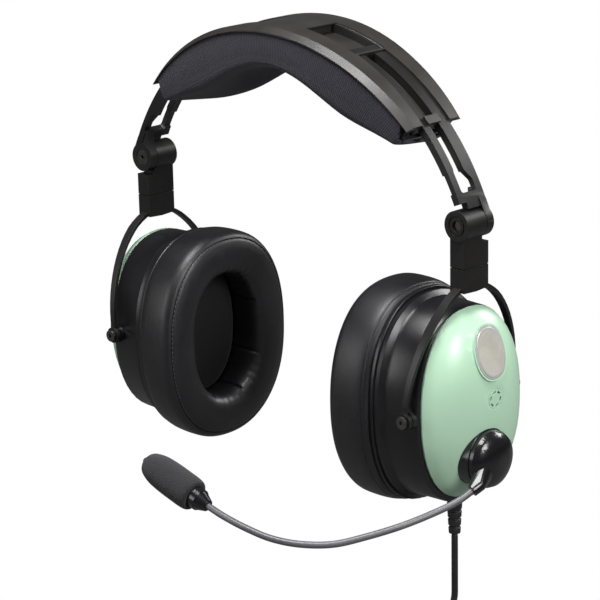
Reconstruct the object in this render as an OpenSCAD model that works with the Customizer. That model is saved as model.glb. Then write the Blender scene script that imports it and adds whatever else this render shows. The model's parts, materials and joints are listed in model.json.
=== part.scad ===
// Aviation headset: folding two-rail suspension, two ear cups, boom microphone and a coiled lead.
// Millimetres. +Z up, the wearer looks toward -Y, the wearer's left is +X.
// The origin is where the crown of the head touches the head pad.

/* [Headband] */
// Outer radius of the headband arc
arc_r = 120; // [110:1:130]
// Height of the headband's top over the crown of the head
crown_h = 20.5; // [18:0.5:26]
// Half the angle that the headband shell spans, in degrees
shell_half_angle = 46.2; // [40:0.5:50]
// Width of the headband shell at the crown
shell_w = 48; // [44:1:56]
// Width of the headband shell at its ends
shell_end_w = 35.4; // [32:0.2:40]
// Thickness of the shell's side flanges
flange_t = 2.8; // [2:0.2:4]
// Thickness of the channel floor
floor_t = 2; // [1.5:0.1:3]
// Thickness of the light liner under the shell
liner_t = 2.4; // [1.6:0.2:3]
// Thickness of the spring strip
spring_t = 0.8; // [0.5:0.1:1.2]

/* [Fork and hinge] */
// Width of the fork across both rails
fork_w = 17.6; // [15:0.2:20]
// Radial depth of the rails
rail_t = 3.6; // [3:0.2:4.4]
// Width of the slot between the rails
slot_w = 6.4; // [5:0.2:7.4]
// Running clearance of the fork in its channel, each side
slide_gap = 0.3; // [0.2:0.05:0.5]
// Distance of the hinge axis from the middle plane
hinge_x = 106; // [100:1:110]
// Angle of the hinge axis along the arc, in degrees
hinge_angle = 69.6; // [66:0.2:74]
// Radius of the hinge barrel and of the fork's ear
barrel_r = 7.2; // [6.4:0.1:8]
// Thickness of the fork's ear
ear_t = 4.4; // [3.5:0.1:5.5]
// Radius of the hinge pin
pin_r = 2.4; // [1.8:0.1:3]
// Clearance round the hinge pin
pin_gap = 0.1; // [0.05:0.05:0.2]
// Gap between faces that turn on each other
face_gap = 0.3; // [0.2:0.05:0.5]
// Width of the hinge block across the headset
block_x = 8.4; // [7:0.2:10]
// Drop from the hinge axis to the swivel seam
seam_drop = 19.6; // [18:0.2:24]
// Radius of the swivel stud
stud_r = 2.2; // [1.6:0.1:2.6]

/* [Yoke] */
// Height of the yoke's solid block under the seam
yoke_block_h = 11; // [8:0.2:12]
// Drop from the hinge axis to the ear cup's pivots
pivot_drop = 86.5; // [82:0.5:95]
// Distance of the ear cup's pivots from the middle plane
pivot_x = 100; // [96:1:104]
// Distance of each pivot from the cup's middle plane
pivot_y = 37.5; // [36:0.5:42]
// Thickness of the yoke's arms
arm_t = 2; // [1.6:0.2:3]
// Radius of the eye at the end of each arm
eye_r = 4; // [3.6:0.2:5]
// Radius of the pivot screws' shanks
pivot_r = 1.6; // [1.2:0.1:2]

/* [Ear cup] */
// Distance of the seal's face from the middle plane
seal_x = 53; // [48:1:60]
// Thickness of the ear seal
seal_t = 25; // [20:1:28]
// Half the width of the ear seal
seal_hy = 42; // [38:0.5:46]
// Half the height of the ear seal
seal_hz = 53.5; // [50:0.5:58]
// Half the width of the seal's opening
mouth_hy = 21; // [17:0.5:24]
// Half the height of the seal's opening
mouth_hz = 31.5; // [27:0.5:35]
// Thickness of the baffle plate that carries the seal
baffle_t = 2.6; // [2:0.2:3.5]
// Wall of the cup shell
cup_wall = 2.4; // [1.8:0.2:3]
// Depth of the cup shell behind the baffle
cup_depth = 23.8; // [20:0.2:26]
// Half the width of the dome cover at its foot
dome_hy = 31.8; // [28:0.2:33]
// Half the height of the dome cover at its foot
dome_hz = 45.3; // [41:0.1:48]
// Height of the dome cover over its foot
dome_h = 17.5; // [14:0.5:22]
// Wall of the dome cover
dome_wall = 2; // [1.6:0.2:2.6]

/* [Boom microphone] */
// Radius of the boom tube
boom_r = 1.6; // [1.3:0.1:2]
// Radius of the boom's round swivel knob
knob_r = 14; // [12:0.5:14.5]
// Distance of the knob's axis below the cup's pivots
knob_drop = 21; // [18:0.5:23]
// Radius of the foam windscreen
foam_r = 8; // [7:0.2:10]
// Length of the foam windscreen
foam_l = 33; // [28:1:40]

/* [Lead] */
// Diameter of the lead
cable_d = 3.2; // [2.8:0.1:3.3]
// Height of the strain relief
relief_h = 22.5; // [18:0.5:26]
// Largest radius of the coil's loops
coil_r = 25; // [24.8:0.1:25.4]
// Distance between loops in the coil
coil_pitch = 3.8; // [3.7:0.05:3.85]
// Whole turns in the coil
coil_turns = 12; // [11:1:12]
// Radius of the plug's shank
plug_r = 3.57; // [3:0.01:4]
// Length of the plug's shank
plug_l = 29; // [25:0.5:32]

/* [Hidden] */
arc_z = crown_h - arc_r;
hinge_rho = hinge_x / sin(hinge_angle);
hinge_z = arc_z + hinge_rho * cos(hinge_angle);
seam_z = hinge_z - seam_drop;
pivot_z = hinge_z - pivot_drop;
channel_w = fork_w + 2 * slide_gap;
rail_top = arc_r - 0.9;
rail_under = rail_top - rail_t;
channel_r = rail_under - slide_gap;
shell_under = channel_r - floor_t;
strip_gap = 0.1;
spring_top = shell_under - strip_gap;
spring_under = spring_top - spring_t;
liner_top = spring_under - strip_gap;
liner_under = liner_top - liner_t;
pad_gap = 0.15;
pad_inset = 0.8;
liner_inset = 3.4;
fork_inner_angle = 20;
web_angle = 63.6;
step_angle = 57;
bridge_angle = 44.2;
hood_angle = 23;
window_from = 12;
window_to = 20.6;
window_w = 15;
barrel_w = fork_w - ear_t - face_gap;
block_y = fork_w - 0.8;
baffle_x = seal_x + seal_t;
shell_x0 = baffle_x + baffle_t;
foot_x = shell_x0 + cup_depth;
knob_z = pivot_z - knob_drop;
knob_x = foot_x + dome_h - 0.3;
knob_y = -5;
relief_y = 1.5;
relief_x = foot_x - 8.9;
relief_r = 4.1;
relief_top_z = pivot_z - 44;
relief_z = relief_top_z - relief_h;
ring_n = 48;
boss_l = 4.2;
washer_recess = 2.2;
stud_bite = 5.8;
black = [0.1, 0.1, 0.11];
gunmetal = [0.2, 0.19, 0.18];
band_grey = [0.26, 0.25, 0.24];
mint = [0.72, 0.87, 0.74];

// --- shared geometry ---

// A point of a rounded oval with half sizes hy and hz, at angle a.
function oval_point(hy, hz, a, p = 2.25) =
  [hy * sign(cos(a)) * pow(abs(cos(a)), 2 / p), hz * sign(sin(a)) * pow(abs(sin(a)), 2 / p)];
function oval(hy, hz, n = ring_n) = [for (i = [0:n - 1]) oval_point(hy, hz, 360 * i / n)];

// Faces that join rings of n points, with end caps or, as a loop, joined last to first.
function strip_faces(m, n, closed) =
  [for (i = [0:(closed ? m - 1 : m - 2)], j = [0:n - 1])
    let (a = i * n + j, b = i * n + (j + 1) % n, c = ((i + 1) % m) * n + j,
         d = ((i + 1) % m) * n + (j + 1) % n)
      each [[a, b, c], [b, d, c]]];
function cap_faces(m, n) =
  [[for (j = [n - 1:-1:0]) j], [for (j = [0:n - 1]) (m - 1) * n + j]];

// A body of oval rings: each entry of profile is [x, half width, half height].
module oval_body(profile, closed = false, n = ring_n) {
  m = len(profile);
  points = [for (q = profile, j = [0:n - 1])
    let (o = oval_point(q[1], q[2], -360 * j / n)) [q[0], o[0], o[1]]];
  polyhedron(points, closed ? strip_faces(m, n, true)
    : concat(strip_faces(m, n, false), cap_faces(m, n)), convexity = 6);
}

// A plate of oval outline between two x places.
module oval_plate(x0, x1, hy, hz) {
  translate([x0, 0, 0]) rotate([90, 0, 90]) linear_extrude(x1 - x0) polygon(oval(hy, hz));
}

// An arc-shaped bar about the headband's centre, from angle a0 to a1, between radii r0 and r1.
module arc_bar(a0, a1, r0, r1, y0, y1) {
  translate([0, 0, arc_z]) rotate([90, 0, 0]) rotate([0, 0, 90 - a1])
    rotate_extrude(angle = a1 - a0, $fn = 180)
      translate([r0, -y1]) square([r1 - r0, y1 - y0]);
}

// Places children at angle a on the arc, with +Z pointing outward along the radius.
module on_arc(a, r = 0) {
  translate([0, 0, arc_z]) rotate([0, a, 0]) translate([0, 0, r]) children();
}

// The right side's suspension is the left one turned half round.
module turned() { rotate([0, 0, 180]) children(); }
// The right side's ear cup is the left one mirrored.
module mirrored() { mirror([1, 0, 0]) children(); }

function rev(v) = [for (i = [len(v) - 1:-1:0]) v[i]];

// --- headband ---

// Outline of the headband in plan, wide at the crown and narrower at the ends.
function band_half(x, inset = 0) = shell_end_w / 2 - inset
  + (shell_w - shell_end_w) / 2 * pow(cos(90 * min(1, abs(x) / (arc_r * sin(shell_half_angle)))), 0.8);
module band_plan(inset = 0, reach = 0) {
  end_x = arc_r * sin(shell_half_angle) + reach;
  steps = 14;
  side = [for (i = [-steps:steps]) let (x = end_x * i / steps) [x, band_half(x, inset)]];
  polygon(concat(side, [for (i = [len(side) - 1:-1:0]) [side[i][0], -side[i][1]]]));
}

module band_body(r0, r1, inset, half_angle) {
  intersection() {
    arc_bar(-half_angle, half_angle, r0, r1, -shell_w, shell_w);
    translate([0, 0, arc_z]) linear_extrude(arc_r + 10) band_plan(inset, 2);
  }
}

module window_cut(side) {
  mid = side * (window_from + window_to) / 2;
  length = 2 * rail_top * sin((window_to - window_from) / 2);
  on_arc(mid, rail_under + 1) linear_extrude(30)
    polygon([[-length / 2, -window_w / 2], [length / 2, -window_w / 2 + 1.5],
      [length / 2, window_w / 2 - 1.5], [-length / 2, window_w / 2]]);
}

// The wedge that bevels the plate's front edge, swept along the arc.
bevel_y = 3.2;
bevel_r = 2.2;
module edge_bevel() {
  half_angle = shell_half_angle + 2;
  steps = 36;
  over = bevel_r / bevel_y;
  points = [for (i = [0:steps], k = [0:2])
    let (a = half_angle * (2 * i / steps - 1), h = band_half(arc_r * sin(a)),
         y = [h + 1, h + 1, h - bevel_y - 1][k], r = arc_r + [over + 1, -bevel_r - over, over][k])
      [r * sin(a), y, arc_z + r * cos(a)]];
  polyhedron(points, concat(strip_faces(steps + 1, 3, false), cap_faces(steps + 1, 3)), convexity = 6);
}

module headband_shell() {
  channel_end = shell_half_angle + 2;
  lip = 1.1;
  color(band_grey) {
    difference() {
      band_body(shell_under, arc_r, 0, shell_half_angle);
      // the flanges are thin, and only the channel's body is deep
      for (side = [-1, 1])
        arc_bar(-60, 60, shell_under - 1, arc_r - flange_t, side > 0 ? channel_w / 2 + 2.2 : -shell_w,
          side > 0 ? shell_w : -channel_w / 2 - 2.2);
      for (side = [0, 180]) rotate([0, 0, side]) {
        // the covered part of the channel, under the crown
        arc_bar(fork_inner_angle - 14, hood_angle, channel_r, rail_top + slide_gap,
          -channel_w / 2, channel_w / 2);
        // the open part of the channel
        arc_bar(hood_angle, channel_end, channel_r, arc_r + 1, -channel_w / 2, channel_w / 2);
        // the shallow tray round the window
        arc_bar(7, hood_angle - 0.6, arc_r - 0.6, arc_r + 1, -channel_w / 2 - 1, channel_w / 2 + 1);
        window_cut(1);
        edge_bevel();
      }
    }
    // the bridge at each end, which holds the rails down
    for (side = [0, 180]) rotate([0, 0, side]) {
      arc_bar(bridge_angle, shell_half_angle, channel_r - 0.5, rail_top + slide_gap + 0.01,
        slot_mid() - slot_w / 2 + 0.5, slot_mid() + slot_w / 2 - 0.5);
      arc_bar(bridge_angle, shell_half_angle, rail_top + slide_gap, rail_top + slide_gap + 1,
        slot_mid() - slot_w / 2 - lip, slot_mid() + slot_w / 2 + lip);
    }
  }
}

module headband_spring() {
  color("silver") arc_bar(-shell_half_angle + 1, shell_half_angle - 1, spring_under, spring_top,
    -8, 8);
}

module screw_holes(r0, h, radius) {
  for (a = [-41, 41], y = [-5, 5]) on_arc(a, r0) translate([0, y, 0]) cylinder(r = radius, h = h, $fn = 32);
}

module headband_liner() {
  color([0.2, 0.2, 0.21]) difference() {
    union() {
      band_body(liner_under, liner_top, liner_inset, shell_half_angle + 0.6);
      // the turned-up rim that closes the gap under each flange
      difference() {
        band_body(liner_top - 0.5, arc_r - flange_t - 0.1, liner_inset, shell_half_angle - 0.4);
        band_body(liner_top - 1, arc_r, liner_inset + 1.8, shell_half_angle + 2);
      }
    }
    screw_holes(liner_under - 1, 4, 1.4);
  }
}

module liner_screws() {
  color("dimgray") for (a = [-41, 41], y = [-5, 5])
    on_arc(a, liner_under) translate([0, y, 0]) cylinder(r = 1.2, h = liner_top - liner_under, $fn = 32);
}

// Thickness of the head pad along the arc: thin at the crown, two full lobes, drawn in at the ends.
pad_top = liner_under - pad_gap;
pad_crown_t = pad_top - (arc_r - crown_h);
pad_edge_t = 2;
lobe_t = 7.5;
function pad_t(a) = pad_edge_t + (pad_crown_t - pad_edge_t) * pow(max(0, cos(a * 1.72)), 0.35)
  + lobe_t * pow(sin(min(180, abs(a) * 3.2)), 2);
pad_end = shell_half_angle + 0.8;
pad_round = 1.5;
// The pad's cloth wraps up beside the liner to the plate's flange.
pad_side = 2.2;
pad_side_top = arc_r - flange_t - 0.3;
pad_under_n = 10;
pad_n = pad_under_n + 9;
pad_angles = concat([for (d = [0, 0.3, 0.8, 1.5, 3]) d - pad_end], [for (i = [-14:14]) 3 * i],
  [for (d = [3, 1.5, 0.8, 0.3, 0]) pad_end - d]);
function pad_ring(a) =
  let (left = pad_end - abs(a), rise = max(0, min(1, (left - pad_round) / pad_round)),
       narrow = left > pad_round ? 1 : sqrt(1 - 0.8 * pow(1 - left / pad_round, 2)),
       t = pad_t(a) * sqrt(1 - pow(abs(a) / (pad_end + 0.6), 14)),
       side_r = pad_top + 0.1 + (pad_side_top - pad_top - 0.1) * rise,
       top_r = pad_top - 0.6 * (1 - rise),
       w = narrow * band_half(pad_top * sin(a), pad_inset),
       w_side = narrow * band_half(side_r * sin(a), pad_inset),
       under = [for (j = [0:pad_under_n]) let (g = 180 * j / pad_under_n)
         [w * sign(cos(g)) * pow(abs(cos(g)), 0.55), pad_top - t / 2 - t / 2 * pow(sin(g), 0.6)]],
       upper = [[w, top_r - 0.4], [w_side, side_r], [w_side - pad_side, side_r], [w - pad_side, top_r]])
    [for (q = concat(under, [for (u = upper) [-u[0], u[1]]], rev(upper)))
      [q[1] * sin(a), q[0], arc_z + q[1] * cos(a)]];
module head_pad() {
  m = len(pad_angles);
  points = [for (a = pad_angles) each pad_ring(a)];
  color([0.17, 0.17, 0.2])
    polyhedron(points, concat(strip_faces(m, pad_n, false), cap_faces(m, pad_n)), convexity = 6);
}

// --- fork, hinge and swivel: written for the left side, ear at the rear ---

function slot_mid() = -1.2;

module fork() {
  ear_y0 = fork_w / 2 - ear_t;
  slot_y0 = slot_mid() - slot_w / 2;
  slot_y1 = slot_mid() + slot_w / 2;
  web_under = hinge_z + barrel_r + 1;
  color(gunmetal) difference() {
    union() {
      arc_bar(fork_inner_angle, hinge_angle - 3, rail_under, rail_top, -fork_w / 2, fork_w / 2);
      translate([hinge_x, ear_y0, hinge_z]) rotate([-90, 0, 0]) cylinder(r = barrel_r, h = ear_t, $fn = 64);
      // the neck between the ear and the web
      translate([0, fork_w / 2 - 0.3, 0]) rotate([90, 0, 0]) linear_extrude(ear_t - 0.3)
        polygon([neck_point(web_angle - 1, rail_top - 0.5), neck_point(web_angle + 1.9, rail_top + 0.45),
          neck_point(hinge_angle + 1, hinge_rho + barrel_r - 0.1),
          [hinge_x, hinge_z - 2], [hinge_x - barrel_r + 0.2, hinge_z + 1.4], neck_point(web_angle + 0.6, rail_under - 3),
          neck_point(web_angle - 3, rail_under)]);
    }
    // the narrow slot between the rails
    arc_bar(fork_inner_angle + 2.2, step_angle + 1.2, rail_under - 2, rail_top + 2, slot_y0, slot_y1);
    // the window at its lower end, which widens toward the front
    on_arc((step_angle + web_angle - 0.6) / 2, rail_under - 3) linear_extrude(12)
      offset(r = 1.3, $fn = 24) offset(delta = -1.3)
        polygon([[-7.5, slot_y0 + 0.6], [-3.6, slot_y0 - 0.6], [6.1, slot_y0 - 0.6], [6.1, slot_y1 + 2.8],
          [0.6, slot_y1 + 2.8], [-3.6, slot_y1 + 0.15], [-7.5, slot_y1 - 0.6]]);
    // the rails are thinner below the headband
    arc_bar(step_angle + 1, web_angle - 1, rail_under - 1, rail_under + 0.9, -fork_w, fork_w);
    // room for the block's barrel, which turns under the web
    translate([hinge_x, -fork_w, hinge_z]) rotate([-90, 0, 0])
      cylinder(r = barrel_r + face_gap, h = fork_w + fork_w / 2 - ear_t, $fn = 64);
    // the corner under the front rail is cut square
    on_arc(hinge_angle - 3.4, rail_under - 6) translate([-2.2, -fork_w, 0])
      cube([12, fork_w + slot_y0 + 0.4, 16]);
    translate([hinge_x, ear_y0 - 1, hinge_z]) rotate([-90, 0, 0]) cylinder(r = pin_r, h = ear_t + 2, $fn = 48);
    // the recess for the pin's head
    translate([hinge_x, fork_w / 2 - 1.6, hinge_z]) rotate([-90, 0, 0])
      cylinder(r = pin_r + 1.7, h = 3, $fn = 48);
  }
}
function neck_point(a, r) = [r * sin(a), arc_z + r * cos(a)];

module hinge_pin() {
  color("dimgray") translate([hinge_x, 0, hinge_z]) rotate([-90, 0, 0]) difference() {
    union() {
      translate([0, 0, -fork_w / 2 + 1.2]) cylinder(r = pin_r, h = fork_w - 1.6 - 1.2, $fn = 48);
      translate([0, 0, fork_w / 2 - 1.6]) cylinder(r = pin_r + 1.6, h = 1.3, $fn = 48);
    }
    translate([0, 0, fork_w / 2 - 1.5]) cylinder(r = 1.25, h = 3, $fn = 6);
  }
}

module hinge_block() {
  y0 = -fork_w / 2;
  shoulder_z = hinge_z - barrel_r - 0.8;
  color(gunmetal) difference() {
    union() {
      translate([hinge_x, y0, hinge_z]) rotate([-90, 0, 0]) cylinder(r = barrel_r, h = barrel_w, $fn = 64);
      // the neck under the barrel
      translate([hinge_x - block_x / 2, y0 + 0.4, shoulder_z - 3])
        cube([block_x, barrel_w - 0.4, hinge_z - shoulder_z + 3]);
      // the block over the swivel seam
      translate([hinge_x - block_x / 2, -block_y / 2, seam_z]) cube([block_x, block_y, shoulder_z - seam_z - 1]);
    }
    translate([hinge_x, y0 - 1, hinge_z]) rotate([-90, 0, 0])
      cylinder(r = pin_r + pin_gap, h = fork_w, $fn = 48);
    // the groove round the pin's end
    translate([hinge_x, y0 - 1, hinge_z]) rotate([-90, 0, 0]) difference() {
      cylinder(r = 4.7, h = 1.5, $fn = 64);
      cylinder(r = 4.1, h = 1.5, $fn = 64);
    }
    translate([hinge_x, 0, seam_z - 1]) cylinder(r = stud_r, h = 1 + stud_bite + 0.4, $fn = 48);
  }
}

module swivel_stud() {
  washer_t = 1;
  washer_z = yoke_under + washer_recess - 0.15 - washer_t;
  color("silver") translate([hinge_x, 0, washer_z]) {
    cylinder(r = stud_r, h = seam_z + stud_bite - washer_z, $fn = 48);
    cylinder(r = stud_r + 1, h = washer_t, $fn = 48);
  }
}

// --- yoke ---

// Outline of the yoke's arch seen from the side, in y and z: an arm bows from the block to each pivot.
yoke_top = seam_z - face_gap;
yoke_under = yoke_top - yoke_block_h;
arch_leg = 3;
arch_h = yoke_under - pivot_z - arch_leg + 1.7;
arch_steps = 36;
function arch(hy, hz) = concat([[hy, pivot_z]],
  [for (i = [0:arch_steps]) let (g = 180 * i / arch_steps)
    [hy * sign(cos(g)) * pow(abs(cos(g)), 1.08), pivot_z + arch_leg + hz * pow(sin(g), 1.08)]],
  [[-hy, pivot_z]]);

module yoke() {
  arm_top_w = 4.4;
  arm_low_w = 2.8;
  bend_z = yoke_under - 4;
  low_z = pivot_z + 6.6;
  outer_y = pivot_y + arm_t / 2 - 0.15;
  color(gunmetal) difference() {
    union() {
      intersection() {
        rotate([90, 0, 90]) linear_extrude(hinge_x + 30)
          polygon(concat(arch(outer_y, arch_h + arm_t), rev(arch(outer_y - arm_t + 0.3, arch_h))));
        // the side view: wide at the block and narrow at the pivots
        translate([0, outer_y + 1, 0]) rotate([90, 0, 0]) linear_extrude(2 * outer_y + 2)
          polygon([[hinge_x - arm_top_w / 2, yoke_top], [hinge_x + arm_top_w / 2, yoke_top],
            [hinge_x + arm_top_w / 2, bend_z], [pivot_x + arm_low_w / 2, low_z],
            [pivot_x + arm_low_w / 2, pivot_z - 1], [pivot_x - arm_low_w / 2, pivot_z - 1],
            [pivot_x - arm_low_w / 2, low_z], [hinge_x - arm_top_w / 2, bend_z]]);
      }
      translate([hinge_x - block_x / 2, 0, 0]) rotate([90, 0, 90]) linear_extrude(block_x)
        polygon([[-block_y / 2, yoke_top], [-block_y / 2, yoke_under], [0, yoke_under - 0.5],
          [block_y / 2, yoke_under], [block_y / 2, yoke_top]]);
      for (side = [-1, 1]) translate([pivot_x, side * pivot_y, pivot_z]) rotate([90, 0, 0])
        cylinder(r = eye_r, h = arm_t, center = true, $fn = 64);
    }
    translate([hinge_x, 0, yoke_under - 8]) cylinder(r = stud_r + pin_gap, h = 20, $fn = 48);
    translate([hinge_x, 0, yoke_under - 8])
      cylinder(r = stud_r + 1 + face_gap, h = 8 + washer_recess, $fn = 48);
    for (side = [-1, 1]) translate([pivot_x, side * pivot_y, pivot_z]) rotate([90, 0, 0])
      cylinder(r = pivot_r + pin_gap, h = arm_t + 4, center = true, $fn = 48);
  }
}

module pivot_screws() {
  head_t = 1.5;
  bite = boss_l + face_gap - 0.8;
  color("dimgray") for (side = [0, 180]) translate([pivot_x, 0, pivot_z]) rotate([0, 0, side])
    rotate([-90, 0, 0]) difference() {
      union() {
        translate([0, 0, pivot_y - arm_t / 2 - bite])
          cylinder(r = pivot_r, h = arm_t + bite + face_gap, $fn = 48);
        translate([0, 0, pivot_y + arm_t / 2 + face_gap / 2]) cylinder(r = 3, h = head_t, $fn = 48);
      }
      translate([0, 0, pivot_y + arm_t / 2 + head_t - 0.8]) cylinder(r = 1.2, h = 3, $fn = 6);
    }
}

// --- ear cup, written for the left side ---

module at_cup() { translate([0, 0, pivot_z]) children(); }

shell_hy = pivot_y - arm_t / 2 - 0.5;
shell_hz = seal_hz - 4.5;
module cup_shell(with_relief = false) {
  hy = shell_hy;
  hz = shell_hz;
  w = cup_wall;
  color(black) at_cup() {
    difference() {
      union() {
        oval_body([[shell_x0, hy + 1.5, hz + 1], [shell_x0 + 2.6, hy + 1.7, hz + 1.2],
          [shell_x0 + 3.6, hy + 0.4, hz + 0.2], [shell_x0 + 4.6, hy - 0.9, hz - 1],
          [shell_x0 + 6.2, hy - 1.2, hz - 1.3], [shell_x0 + 12, hy - 1.5, hz - 1.5],
          [shell_x0 + 17, hy - 1.8, hz - 1.6], [foot_x - 1.2, hy - 2.1, hz - 1.8],
          [foot_x - 0.4, hy - 2.5, hz - 2.2], [foot_x, hy - 3.4, hz - 3.1],
          [foot_x, dome_hy - 3.4, dome_hz - 3.4], [foot_x - w, dome_hy - 3.6, dome_hz - 3.6],
          [foot_x - w - 0.6, hy - 2.4 - w, hz - 2.4 - w], [shell_x0 + 12, hy - 1.7 - w, hz - 1.8 - w],
          [shell_x0 + 3, hy - 1.7 - w, hz - 1.4 - w], [shell_x0, hy - 1.7 - w, hz - 1.4 - w]], true);
        // bosses for the pivot screws
        for (side = [-1, 1]) translate([pivot_x, side * (pivot_y - arm_t / 2 - face_gap), 0])
          rotate([side * 90, 0, 0]) cylinder(r = 4.2, h = boss_l, $fn = 48);
      }
      for (side = [-1, 1]) translate([pivot_x, side * pivot_y, 0]) rotate([side * 90, 0, 0])
        cylinder(r = pivot_r, h = arm_t / 2 + face_gap + boss_l - 0.8, $fn = 48);
      // the hole that the strain relief sits in
      if (with_relief) translate([relief_x, relief_y, relief_top_z - pivot_z - 12])
        cylinder(r = relief_r + 0.05, h = 16, $fn = 64);
    }
  }
}

// Half-ellipse profile of the dome, from its foot to its top, drawn in by a depth t.
dome_steps = 12;
dome_raise = 1.5;
function dome_ring(i, t) =
  let (g = 88 * i / dome_steps, k = cos(g))
    [foot_x + 0.1 + (dome_h - t) * sin(g), (dome_hy - t) * k, (dome_hz - t) * k];
badge_z = 28;
badge_x = foot_x + 14.15;
badge_lean = 15.6;
badge_hy = 9.6;
badge_hz = 12.4;
vent_z = 6.4;
vent_r = 4.6;
vent_x = foot_x + dome_h - 0.3;
module at_badge() { translate([badge_x, 0, badge_z]) rotate([0, -badge_lean, 0]) children(); }

module dome_cover(with_boom = false) {
  outer = concat([dome_ring(0, 0), [foot_x + 1.2, dome_hy + 0.3, dome_hz + 0.3]],
    [for (i = [1:dome_steps]) dome_ring(i, 0)]);
  inner = concat([[foot_x - 1, dome_hy - dome_wall, dome_hz - dome_wall]],
    [for (i = [0:dome_steps]) dome_ring(i, dome_wall)]);
  color(mint) at_cup() difference() {
    union() {
      difference() {
        translate([0, 0, dome_raise]) oval_body(outer);
        translate([0, 0, dome_raise]) oval_body(inner);
      }
      at_badge() oval_plate(-3.4, 0.2, badge_hy + 0.9, badge_hz + 0.9);
    }
    at_badge() oval_plate(-1.2, 3, badge_hy + 0.1, badge_hz + 0.1);
    translate([vent_x - 1, 0, vent_z]) rotate([0, 90, 0]) cylinder(r = vent_r + 0.1, h = 8, $fn = 64);
    if (with_boom) translate([foot_x + 4, knob_y, -knob_drop]) rotate([0, 90, 0])
      cylinder(r = knob_r + 0.1, h = 40, $fn = 96);
  }
}

module baffle() {
  hy = pivot_y - arm_t / 2 + 1.8;
  hz = seal_hz - 2;
  color(black) at_cup() difference() {
    oval_plate(baffle_x, shell_x0, hy, hz);
    translate([baffle_x - 1, 0, 0]) rotate([0, 90, 0]) cylinder(r = 20.2, h = 10, $fn = 96);
    for (z = [-37, 37]) translate([baffle_x - 1, 0, z]) rotate([0, 90, 0]) cylinder(r = 2, h = 10, $fn = 32);
  }
}

// Profile of the ear seal round its ring: [x from the face, share of the way from mouth to rim].
seal_profile = [[24.6, 0.16], [20, 0.06], [14, 0.02], [8, 0], [4, 0.04], [1.6, 0.14], [0.35, 0.3], [0, 0.48],
  [0.3, 0.64], [1.1, 0.78], [1.9, 0.845], [2.1, 0.87], [3, 0.93], [5.4, 0.985], [9, 1], [14, 1], [18.6, 0.985],
  [21.6, 0.955], [22.4, 0.93], [23.2, 0.94], [24.6, 0.9]];
module ear_seal() {
  color([0.07, 0.07, 0.08]) at_cup()
    oval_body([for (q = seal_profile) [seal_x + q[0] * (seal_t - 0.1) / 24.6,
      mouth_hy + (seal_hy - mouth_hy) * q[1], mouth_hz + (seal_hz - mouth_hz) * q[1]]], true, 40);
}

module ear_liner() {
  color([0.13, 0.13, 0.15]) at_cup() oval_plate(baffle_x - 3, baffle_x - 0.15, mouth_hy + 1.6, mouth_hz + 1.8);
}

module speaker() {
  color("gray") at_cup() translate([baffle_x + 0.1, 0, 0]) rotate([0, 90, 0]) {
    cylinder(r = 20, h = 4, $fn = 96);
    translate([0, 0, 4]) cylinder(r1 = 17, r2 = 9, h = 4, $fn = 96);
    translate([0, 0, 8]) cylinder(r = 9, h = 3, $fn = 64);
  }
}

module badge() {
  color([0.8, 0.79, 0.75]) at_cup() at_badge() {
    oval_plate(-1.1, 0.4, badge_hy, badge_hz);
    oval_plate(0.3, 0.7, badge_hy - 1, badge_hz - 1);
  }
}

module vent_ring() {
  slot_arc = 36;
  color(mint) at_cup() translate([vent_x - 0.9, 0, vent_z]) rotate([0, 90, 0]) difference() {
    cylinder(r = vent_r, h = 1.2, $fn = 64);
    for (a = [0:60:300]) rotate([0, 0, a]) rotate_extrude(angle = slot_arc, $fn = 96)
      translate([vent_r - 1.7, -1]) square([0.9, 4]);
  }
}

module circuit_board() {
  board_t = 1.6;
  board_x = foot_x - cup_wall - 0.75 - board_t;
  color("darkgreen") at_cup() {
    oval_plate(board_x, board_x + board_t, shell_hy - cup_wall - 4.6, shell_hz - cup_wall - 8.6);
    translate([board_x + board_t - 0.1, -12, 6]) cube([1.5, 8, 8]);
    translate([board_x + board_t - 0.1, 3, 10]) cube([3, 7, 12]);
  }
}

// --- boom microphone ---

// The boom's centre line, from the clamp to the microphone.
boom_points = [[128, -21, -176], [125, -29, -180.5], [120, -39, -184.5], [113, -54, -188.5],
  [104, -68, -192], [94, -79, -195], [82, -88, -195.5], [70, -94.5, -194], [58, -98.5, -191],
  [46, -100.5, -188], [36, -101, -185.4]];
mic_at = boom_points[len(boom_points) - 1];
mic_dir = [-0.94, -0.03, 0.29];

// A tube swept along a centre line, with rings square to the path and no twist.
function unit(v) = v / norm(v);
function tangent(p, i) = unit(p[min(i + 1, len(p) - 1)] - p[max(i - 1, 0)]);
function frames(p, up, i = 0, acc = []) = i >= len(p) ? acc :
  let (t = tangent(p, i), last = i == 0 ? up : acc[i - 1][1],
       n = unit(last - (last * t) * t), b = cross(t, n))
    frames(p, up, i + 1, concat(acc, [[t, n, b]]));
module sweep(p, r, sides, up) {
  f = frames(p, up);
  points = [for (i = [0:len(p) - 1], j = [0:sides - 1])
    let (g = -360 * j / sides) p[i] + r * (cos(g) * f[i][1] + sin(g) * f[i][2])];
  polyhedron(points, concat(strip_faces(len(p), sides, false), cap_faces(len(p), sides)), convexity = 10);
}
// A smooth line through a list of points, with m steps between neighbours.
function spline_at(a, b, c, d, t) =
  0.5 * ((2 * b) + (c - a) * t + (2 * a - 5 * b + 4 * c - d) * t * t + (3 * b - a - 3 * c + d) * t * t * t);
function smooth(p, m) = concat([for (i = [0:len(p) - 2], k = [0:m - 1])
  spline_at(p[max(i - 1, 0)], p[i], p[i + 1], p[min(i + 2, len(p) - 1)], k / m)], [p[len(p) - 1]]);

module along(at, dir) {
  turn = acos(dir[2] / norm(dir));
  translate(at) rotate([0, turn, atan2(dir[1], dir[0])]) children();
}

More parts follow.
